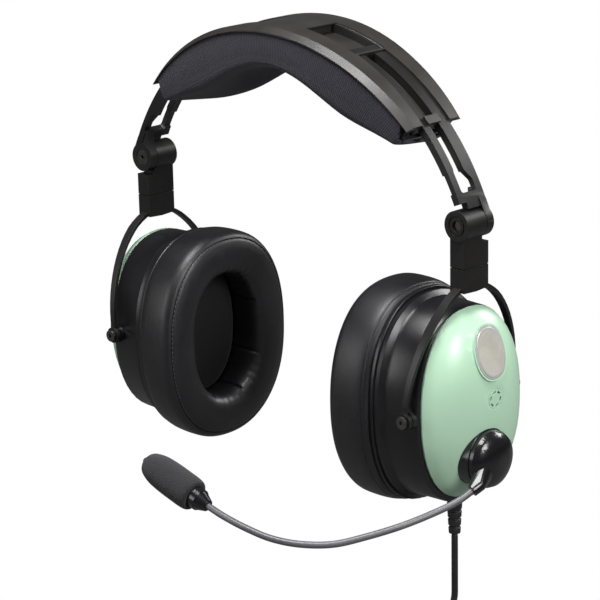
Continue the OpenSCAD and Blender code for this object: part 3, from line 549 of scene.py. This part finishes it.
def lead_path():
    """The lead's centreline in millimetres.

    It runs straight down from the strain relief, bends into the coil, makes layered loops whose
    radius shrinks and grows by turns, and bends out to the plug.
    """
    centre = np.array([RELIEF[0], RELIEF[1], COIL_Z])
    drop = math.sqrt(COIL_R**2 + 2 * COIL_R * LEAD_BEND_R)
    turn = math.degrees(math.atan(LEAD_BEND_R / drop))
    wound = 360 * COIL_TURNS + 180 - 2 * turn
    layer = wound / COIL_LAYERS
    reach = COIL_PITCH * layer / 360
    bend_steps = 8
    bend = [[0, -LEAD_BEND_R * (1 - math.cos(g)), drop - LEAD_BEND_R * math.sin(g)]
            for g in (math.radians((90 - turn) * i / bend_steps) for i in range(bend_steps))]
    a = np.linspace(0, wound, round(wound / 10) + 1)
    k = np.floor(a / layer)
    part = a / layer - k
    radius = COIL_R - reach * np.where(k % 2 == 0, part, 1 - part)
    last = (COIL_LAYERS - 1) * COIL_PITCH
    across = np.zeros_like(a)
    for n in range(1, COIL_LAYERS):
        u = np.clip((a - n * layer) / 180 + 0.5, 0, 1)
        across += COIL_PITCH * u * u * (3 - 2 * u)
    g = np.radians(90 + turn + a)
    loops = np.stack([across, radius * np.cos(g), radius * np.sin(g)], -1)
    tail = [[last, b[1], -b[2]] for b in reversed(bend)]
    line = centre + np.vstack([[0, 0, drop + END_STRAIGHT], bend, loops, tail,
                               [last, 0, -drop - END_STRAIGHT]])
    mouth = RELIEF - [0, 0, 0.1]
    head_drops = (0, 0.15, 0.5, 1.0, 1.75)
    head = [mouth - [0, 0, d] for d in head_drops]
    run = np.linspace(head[-1], line[0], 6)[1:-1]
    return np.vstack([head, run, line])


class HEADSET_OT_lead(bpy.types.Operator):
    """Makes the lead from its strain relief to its plug, with its unseen length wound and tied"""
    bl_idname = "headset.lead"
    bl_label = "Lead"

    def execute(self, context):
        looks = context.scene.headset_boom
        path = lead_path()
        radius = np.full(len(path), looks.lead_diameter / MM / 2)
        # the lead starts with a rounded top inside the strain relief
        radius[:4] *= [0.12, 0.42, 0.73, 0.92]
        points, faces = tube(path, radius, 12)
        lead = new_piece("lead", points, faces, "lead")
        paint(lead, rubber("lead rubber", looks.lead))
        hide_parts("cable", "cable_coil")
        tie = dressed("cable_tie", 0.35)
        paint(tie, woven("strap weave", (0.012, 0.012, 0.012)))
        handle = dressed("plug_handle", 0.3)
        paint(handle, moulded("plug plastic", looks.lead, 0.38))
        paint_node("plug_shank", turned_metal("plug brass", (0.75, 0.6, 0.36), 0.22))
        relief = dressed("strain_relief", 0.2)
        paint(relief, rubber("relief rubber", looks.lead, 0.5))
        return {"FINISHED"}


# ---------------------------------------------------------------- headband

def pad_thickness(degrees, rearward):
    """The pad's thickness: thin at the crown, two full lobes, drawn in at the ends.

    The lobes are fuller to the rear, where the share rearward is 1, and thinner to the front,
    where it is 0.
    """
    edge_t, lobe_t, rear_more, front_less = 2, 7.5, 3.6, 2.8
    crown = PAD_TOP - (ARC_R - CROWN_H)
    d = np.abs(degrees)
    base = edge_t + (crown - edge_t) * np.maximum(0, np.cos(np.radians(d * 1.72))) ** 0.35
    lobe = lobe_t * np.sin(np.radians(np.minimum(180, d * 3.2))) ** 2
    full, thin = (u * u * (3 - 2 * u)
                  for u in (np.clip(d / 18, 0, 1), np.clip((d - 26) / 20, 0, 1)))
    return base + lobe + rear_more * full * rearward - front_less * thin * (1 - rearward)


def band_half(x, inset):
    """Half the headband's width at x: wide at the crown and narrower at the ends."""
    end = ARC_R * math.sin(math.radians(SHELL_HALF_ANGLE))
    swell = np.cos(np.pi / 2 * np.minimum(1, np.abs(x) / end)) ** 0.8
    return SHELL_END_HALF_W - inset + (SHELL_HALF_W - SHELL_END_HALF_W) * swell


def pad_rings():
    """The pad's rings along the arc, each ring's way along it and the way round it.

    Each ring has a full underside of rounded section, side walls that wrap up beside the liner to
    the plate's flange, and a dished top.
    """
    inset, end_round, side_t, lift, flange_gap = 0.8, 1.5, 2.2, 0.1, 0.3
    inner_end = PAD_END - end_round
    degrees = np.concatenate([np.linspace(-PAD_END, -inner_end, 7)[:-1],
                              np.linspace(-inner_end, inner_end, 121),
                              np.linspace(inner_end, PAD_END, 7)[1:]])
    a = np.radians(degrees)[:, None]
    left = PAD_END - np.abs(degrees)[:, None]
    rise = np.clip((left - end_round) / end_round, 0, 1)
    narrow = np.sqrt(1 - 0.8 * np.clip(1 - left / end_round, 0, 1) ** 2)
    fade = np.sqrt(1 - (np.abs(degrees)[:, None] / (PAD_END + 0.6)) ** 14)
    side_r = PAD_TOP + lift + (ARC_R - FLANGE_T - flange_gap - PAD_TOP - lift) * rise
    top_r = PAD_TOP - 0.6 * (1 - rise)
    w = narrow * band_half(PAD_TOP * np.sin(a), inset)
    w_side = narrow * band_half(side_r * np.sin(a), inset)
    g = np.linspace(0, np.pi, 49)[None, :]
    across = np.sign(np.cos(g)) * np.abs(np.cos(g)) ** 0.55
    under_y = w * across
    t = pad_thickness(degrees[:, None], (1 + across) / 2) * fade
    under_r = PAD_TOP - t / 2 - t / 2 * np.sin(g) ** 0.6
    s = np.linspace(0, 1, 11)[None, 1:]
    wall_y = w + (w_side - w) * s + 0.35 * np.sin(np.pi * s) * rise
    front_r, rear_r = (r0 + (side_r - r0) * s for r0 in (under_r[:, -1:], under_r[:, :1]))
    inner_y = np.hstack([w_side - 0.5, w_side - 1.7, w_side - side_t, w - side_t, 0.5 * w])
    inner_r = np.hstack([side_r, side_r, side_r - 0.4 * rise, top_r, top_r])
    y = np.hstack([under_y, -wall_y, -inner_y, inner_y[:, ::-1], wall_y[:, ::-1]])
    r = np.hstack([under_r, front_r, inner_r, inner_r[:, ::-1], rear_r[:, ::-1]])
    points = np.stack([r * np.sin(a), y, ARC_Z + r * np.cos(a)], -1)
    half_way, top_way = 16, 26
    way = np.hstack([half_way - 2 * half_way * g / np.pi + 0 * a,
                     -half_way - (front_r - front_r[:, :1]), -top_way + 0 * inner_y,
                     top_way + 0 * inner_y, half_way + (rear_r - rear_r[:, :1])[:, ::-1]])
    return points, ARC_R * a + 0 * y, way


class HEADSET_OT_headband(bpy.types.Operator):
    """Makes the knitted head pad and finishes the headband's plate, liner, spring and screws"""
    bl_idname = "headset.headband"
    bl_label = "Headband"

    def execute(self, context):
        looks = context.scene.headset_headband
        points, along, way = pad_rings()
        rows, columns = points.shape[:2]
        faces = grid_faces(rows, columns)
        faces += [list(range(columns)), list(range((rows - 1) * columns, rows * columns))]
        pad = new_piece("pad_knit", points.reshape(-1, 3), faces, "headband", True, 60)
        grid_uv(pad.data, along, way)
        paint(pad, knit("pad knit", looks.knit))
        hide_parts("head_pad")
        plate = dressed("headband_shell", 0.15, 24, 1)
        paint(plate, moulded("band plastic", looks.plate, 0.42, 0.12))
        liner = dressed("headband_liner", 0.25)
        paint(liner, moulded("liner plastic", looks.liner, 0.3, 0.06))
        steel = turned_metal("spring steel", (0.5, 0.5, 0.52), 0.35)
        paint_node("headband_spring", steel)
        paint_node("liner_screws", steel)
        return {"FINISHED"}


# ---------------------------------------------------------------- suspension

class HEADSET_OT_suspension(bpy.types.Operator):
    """Finishes both forks, hinges, swivels and yokes"""
    bl_idname = "headset.suspension"
    bl_label = "Suspension"

    def execute(self, context):
        looks = context.scene.headset_headband
        rail = painted("rail paint", looks.rail, 0.38, (0.12, 0.11, 0.10), 0.35)
        dark = turned_metal("dark steel", (0.16, 0.155, 0.15), 0.3)
        for side, _ in SIDES:
            for part, round_mm in (("fork", 0.3), ("hinge_block", 0.35), ("yoke", 0.5)):
                piece = dressed(f"{side}_{part}", round_mm)
                paint(piece, rail)
            for part in ("hinge_pin", "swivel_stud", "pivot_screws"):
                piece = dressed(f"{side}_{part}", 0.12)
                paint(piece, dark)
        return {"FINISHED"}


# ---------------------------------------------------------------- ear cups

# A seal's section: the depth behind its face, and the share of the way from its mouth to its rim
SEAL_DEEP, SPAN_STEPS = 24.6, 5
SEAL_PROFILE = [[SEAL_DEEP, 0.16], [20, 0.06], [14, 0.02], [8, 0], [4, 0.04], [1.6, 0.14],
                [0.35, 0.3], [0, 0.48], [0.3, 0.64], [1.1, 0.78], [1.9, 0.845], [2.1, 0.87],
                [3, 0.93], [5.4, 0.985], [9, 1], [14, 1], [18.6, 0.985], [21.6, 0.955],
                [22.4, 0.93], [23.2, 0.94], [SEAL_DEEP, 0.9]]
# Rows of the splined section: where the wall's seams end, the mouth's lip, where the thread is
# measured from, and the seam
WALL_ROW, LIP_ROW, SEAM_FOOT_ROW, SEAM_ROW = 22, 25, 49, 51


def seal_points(groove):
    """The profile carried round the oval, with the way along the seam and the distance from it.

    A seam sinks near the rim, pleats gather at the mouth where the cover turns in, and seams cross
    the inner wall.
    """
    profile = spline(SEAL_PROFILE, SPAN_STEPS)
    x, share = profile[:, 0][:, None], profile[:, 1][:, None]
    row = np.arange(len(profile))[:, None]
    columns, wall_seams = 288, 8
    g = -np.linspace(0, 2 * np.pi, columns, endpoint=False)[None, :]
    # the seam round the face
    near = np.exp(-((row - SEAM_ROW) / 1.3) ** 2)
    # pleats at the mouth, gathered by turns, strongest at the bottom
    gather = 0.35 + 0.65 * np.clip(-np.sin(-g), 0, 1) ** 2
    wave = np.sin(g * 46 + 1.7 * np.sin(3 * g)) * (0.6 + 0.4 * np.sin(7 * g + 1))
    lip = np.exp(-((row - LIP_ROW) / 6.0) ** 2)
    # seams across the inner wall
    inner = 1 / (1 + np.exp((row - WALL_ROW) / 1.5))
    seams = np.zeros_like(g)
    for k in range(wall_seams):
        d = (g + 2 * np.pi * (k + 0.5) / wall_seams + np.pi) % (2 * np.pi) - np.pi
        seams = seams + np.exp(-(d / 0.022) ** 2)
    grow = 0.32 * lip * gather * wave + 0.9 * inner * seams
    y, z = oval(MOUTH_HY + SEAL_GROW_Y * share + grow, MOUTH_HZ + SEAL_GROW_Z * share + grow, g)
    depth = x + groove * near + 0.12 * np.sin(g * 5 + 0.6) * share + 0 * g
    depth = np.clip(depth, 0, SEAL_DEEP)
    points = np.stack([SEAL_X + depth * (SEAL_T - 0.1) / SEAL_DEEP, y, PIVOT_Z + z], -1)
    step = np.linalg.norm(np.roll(points, -1, 1) - points, axis=-1)
    along = np.cumsum(step, 1)[SEAM_ROW:SEAM_ROW + 1] + 0 * x
    first = points[:, :1]
    ring = np.cumsum(np.linalg.norm(np.diff(first, axis=0, prepend=first[:1]), axis=-1), 0)
    return points, along, ring - ring[SEAM_FOOT_ROW:SEAM_FOOT_ROW + 1] + 0 * along


# The liner cloth's section: shares of its half size, and drops from the baffle, front face first
LINER_HALF = (22.6, 33.3)
LINER_SHARES = (0.02, 0.2, 0.4, 0.6, 0.78, 0.92, 0.985, 1.0, 1.0, 0.985, 0.5, 0.02)
LINER_DROPS = (2.2, 2.3, 2.45, 2.6, 2.8, 2.9, 2.75, 2.3, 0.7, 0.2, 0.2, 0.2)


def liner_points(columns=96):
    """A shallow dished cloth over the speaker: its points and the two ways across it."""
    g = -np.linspace(0, 2 * np.pi, columns, endpoint=False)[None, :]
    s = np.array(LINER_SHARES)[:, None]
    x = BAFFLE_X - np.array(LINER_DROPS)[:, None]
    y, z = oval(LINER_HALF[0] * s, LINER_HALF[1] * s, g)
    return np.stack([x + 0 * g, y, PIVOT_Z + z], -1), y, z


class HEADSET_OT_cups(bpy.types.Operator):
    """Makes the ear seals, liners and badges and finishes both cups"""
    bl_idname = "headset.cups"
    bl_label = "Ear cups"

    def execute(self, context):
        looks = context.scene.headset_cups
        hide = leatherette("seal leatherette", looks.seal, 0.42)
        cloth = knit("liner cloth", (0.0022, 0.0022, 0.003), 0.5, 0.08)
        housing = moulded("housing plastic", looks.housing, 0.33, 0.1)
        # painted shade: the dome's material is painted near black behind the vent's slots
        mint = mint_gloss("dome plastic", looks.dome, True)
        vent = mint_gloss("vent plastic", looks.dome)
        pearly = pearl("badge pearl", looks.badge, (0.5, 0.5, 0.48))
        inner = moulded("speaker metal", (0.2, 0.2, 0.2), 0.45, metal=0.8)
        shape, along, off = seal_points(looks.groove / MM)
        rows, columns = shape.shape[:2]
        faces = grid_faces(rows, columns, wrap_rows=True)
        dish, across, upward = liner_points()
        rings, round_ = dish.shape[:2]
        dish_faces = grid_faces(rings, round_)
        dish_faces += [list(range(round_)), list(range((rings - 1) * round_, rings * round_))]
        for side, sign in SIDES:
            body = side + "_cup"
            seal = new_piece(side + "_seal", shape.reshape(-1, 3) * [sign, 1, 1], faces, body, True, 70)
            grid_uv(seal.data, along, off)
            paint(seal, hide)
            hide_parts(side + "_ear_seal")
            liner = new_piece(side + "_liner_cloth", dish.reshape(-1, 3) * [sign, 1, 1], dish_faces, body)
            grid_uv(liner.data, across, upward)
            paint(liner, cloth)
            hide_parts(side + "_ear_liner")
            for part, material, slot, round_mm in (
                    ("cup_shell", housing, "black_plastic", 0.3), ("dome_cover", mint, "mint_plastic", 0.25),
                    ("baffle", housing, "black_plastic", 0.5), ("badge", pearly, "badge_silver", 0.15),
                    ("vent_ring", vent, "mint_plastic", 0.12)):
                piece = dressed(f"{side}_{part}", round_mm)
                paint(piece, material)
            paint_node(side + "_speaker", inner)
        paint_node("circuit_board", moulded("board", (0.02, 0.09, 0.03), 0.4))
        return {"FINISHED"}


# ---------------------------------------------------------------- boom

# The boom's centreline from the knob to the microphone, and the way that the microphone points
BOOM = [[128, -21, -176], [125, -29, -180.5], [120, -39, -184.5], [113, -54, -188.5],
        [104, -68, -192], [94, -79, -195], [82, -88, -195.5], [70, -94.5, -194],
        [58, -98.5, -191], [46, -100.5, -188], [36, -101, -185.4]]
MIC_DIR = np.array([-0.94, -0.03, 0.29]) / np.linalg.norm([-0.94, -0.03, 0.29])
BOOM_R = 1.6
FOAM_R, FOAM_L, FOAM_START = 8.0, 33.0, 9


def foam_profile():
    """The windscreen's section: a rounded sleeve, closed at its far end, over the microphone."""
    r, long = FOAM_R, FOAM_L
    return [[5.3, 0.02], [6.0, 0.0], [r - 1.4, 0.05], [r - 0.7, 0.5], [r - 0.3, 1.4], [r, 4],
            [r + 0.05, 10], [r, long * 0.5], [r - 0.5, long * 0.72], [r - 1.9, long * 0.88],
            [r - 3.4, long * 0.945], [r - 5.6, long * 0.985], [0.4, long], [0.3, 14.6],
            [4.3, 14.5], [4.5, 14.3], [4.5, 2.2], [5.3, 2.0]]


class HEADSET_OT_boom(bpy.types.Operator):
    """Makes the flexible boom and the foam windscreen and finishes the microphone and knob"""
    bl_idname = "headset.boom"
    bl_label = "Boom microphone"

    def execute(self, context):
        looks = context.scene.headset_boom
        b = np.array(BOOM, float)
        first = b[0] - 1.5 * (b[1] - b[0]) / np.linalg.norm(b[1] - b[0])
        path = np.vstack([spline(np.vstack([first, b[1:]]), 10), b[-1] + 2 * MIC_DIR])
        points, faces = tube(path, BOOM_R, 20)
        boom = new_piece("boom_tube", points, faces, "boom", True, 60)
        paint(boom, painted("boom metal", looks.tube, 0.4, (0.16, 0.16, 0.17), 0.15))
        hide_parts("boom_gooseneck")
        shape = lathe(spline(foam_profile(), 4), b[-1] + FOAM_START * MIC_DIR, MIC_DIR, 96)
        faces = grid_faces(*shape.shape[:2], wrap_rows=True)
        foam = new_piece("windscreen_foam", shape.reshape(-1, 3), faces, "boom")
        paint(foam, open_foam("windscreen foam", looks.foam))
        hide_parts("windscreen")
        gloss = moulded("knob gloss", (0.006, 0.006, 0.007), 0.24, 0.1, Coat_Weight=0.15)
        for node, round_mm in (("boom_base", 0.3), ("boom_knob", 0.4), ("mic_housing", 0.3)):
            piece = dressed(node, round_mm)
            paint(piece, gloss)
        paint_node("mic_capsule", turned_metal("capsule metal", (0.5, 0.5, 0.5), 0.35))
        return {"FINISHED"}


# ---------------------------------------------------------------- stage

FLOOR_HALF, FLOOR_DROP = 9.0, 0.001
WORLD_LEVEL = 0.1
# Lamps, as place from the target in metres, power in watts and size in metres
LAMPS = {"key": ((0.95, -0.15, 0.5), 8, 0.4), "fill": ((-0.55, -0.95, 0.25), 3, 0.5),
         "rim": ((0.3, 0.95, 0.5), 6, 0.4), "top": ((0.05, -0.25, 0.95), 14, 0.5)}
# The camera's target, its turn, height and roll in degrees, its distance, and its focal length
# in pixels of a square picture
TARGET = Vector((-0.00318, 0, -0.11761))
CAMERA_TURN, CAMERA_RISE, CAMERA_ROLL, CAMERA_AWAY = 45.18, 16.55, -1.22, 1.18
FOCAL_PX, PICTURE_PX, SENSOR_MM = 2418.27, 600, 36


class HEADSET_OT_stage(bpy.types.Operator):
    """Makes the floor, the lamps, the world and the camera"""
    bl_idname = "headset.stage"
    bl_label = "Stage"

    def execute(self, context):
        scene = context.scene
        low = CAD_BOX[0][2] - FLOOR_DROP
        mesh = bpy.data.meshes.new("floor")
        half = FLOOR_HALF
        mesh.from_pydata([(-half, -half, low), (half, -half, low), (half, half, low), (-half, half, low)], [],
                         [(0, 1, 2, 3)])
        floor = bpy.data.objects.new("floor", mesh)
        scene.collection.objects.link(floor)
        f = Finish("floor", (0.14, 0.14, 0.14), 0.9)
        ray = f.tree.nodes.new("ShaderNodeLightPath")
        glow = f.tree.nodes.new("ShaderNodeEmission")
        blend = f.tree.nodes.new("ShaderNodeMixShader")
        f.tree.links.new(ray.outputs["Is Camera Ray"], blend.inputs[0])
        f.tree.links.new(f.shader.outputs[0], blend.inputs[1])
        f.tree.links.new(glow.outputs[0], blend.inputs[2])
        f.tree.links.new(blend.outputs[0], f.tree.nodes["Material Output"].inputs[0])
        paint(floor, f.material)
        world = bpy.data.worlds.new("studio")
        scene.world = world
        world.use_nodes = True
        tree = world.node_tree
        back = tree.nodes["Background"]
        back.inputs[0].default_value = (1, 1, 1, 1)
        path = tree.nodes.new("ShaderNodeLightPath")
        clear = tree.nodes.new("ShaderNodeMath")
        clear.operation = "MAXIMUM"
        tree.links.new(path.outputs["Is Camera Ray"], clear.inputs[0])
        tree.links.new(path.outputs["Is Transmission Ray"], clear.inputs[1])
        level = tree.nodes.new("ShaderNodeMapRange")
        tree.links.new(clear.outputs[0], level.inputs[0])
        level.inputs["To Min"].default_value = WORLD_LEVEL
        level.inputs["To Max"].default_value = 1.0
        tree.links.new(level.outputs[0], back.inputs[1])
        for name, (place, power, size) in LAMPS.items():
            lamp = bpy.data.lights.new(name, "AREA")
            lamp.energy, lamp.size = power, size
            obj = bpy.data.objects.new(name, lamp)
            obj.location = TARGET + Vector(place)
            obj.rotation_euler = Vector(place).to_track_quat("Z", "Y").to_euler()
            scene.collection.objects.link(obj)
        a, e, roll = (math.radians(v) for v in (CAMERA_TURN, CAMERA_RISE, CAMERA_ROLL))
        back_dir = Vector((math.sin(a) * math.cos(e), -math.cos(a) * math.cos(e), math.sin(e)))
        right = Vector((math.cos(a), math.sin(a), 0))
        up = back_dir.cross(right)
        turned_right = math.cos(roll) * right + math.sin(roll) * up
        turned_up = -math.sin(roll) * right + math.cos(roll) * up
        data = bpy.data.cameras.new("camera")
        data.lens, data.sensor_width = FOCAL_PX * SENSOR_MM / PICTURE_PX, SENSOR_MM
        cam = bpy.data.objects.new("camera", data)
        cam.matrix_world = Matrix.Translation(TARGET + back_dir * CAMERA_AWAY) @ Matrix(
            (turned_right, turned_up, back_dir)).transposed().to_4x4()
        scene.collection.objects.link(cam)
        scene.camera = cam
        scene.view_settings.view_transform = "Standard"
        return {"FINISHED"}


class HEADSET_PT_tools(bpy.types.Panel):
    """Shows the headset's look settings and a button for each step"""
    bl_idname = "HEADSET_PT_tools"
    bl_label = "Headset"
    bl_space_type = "VIEW_3D"
    bl_region_type = "UI"
    bl_category = "Headset"

    def draw(self, context):
        for group in GROUPS:
            looks = getattr(context.scene, group)
            for name in looks.bl_rna.properties.keys():
                if name not in ("rna_type", "name"):
                    self.layout.prop(looks, name)
        for step in STEPS:
            self.layout.operator(step.bl_idname)


GROUPS = {"headset_headband": HeadbandLooks, "headset_cups": CupLooks, "headset_boom": BoomLooks}
STEPS = (HEADSET_OT_stage, HEADSET_OT_lead, HEADSET_OT_headband, HEADSET_OT_suspension, HEADSET_OT_cups,
         HEADSET_OT_boom)


def register():
    for made in (*GROUPS.values(), *STEPS, HEADSET_PT_tools):
        bpy.utils.register_class(made)
    for name, group in GROUPS.items():
        setattr(bpy.types.Scene, name, PointerProperty(type=group))


def unregister():
    for name in GROUPS:
        delattr(bpy.types.Scene, name)
    for made in reversed((*GROUPS.values(), *STEPS, HEADSET_PT_tools)):
        bpy.utils.unregister_class(made)


def main():
    register()
    for step in STEPS:
        getattr(bpy.ops.headset, step.bl_idname.split(".")[1])()


if __name__ == "__main__":
    main()
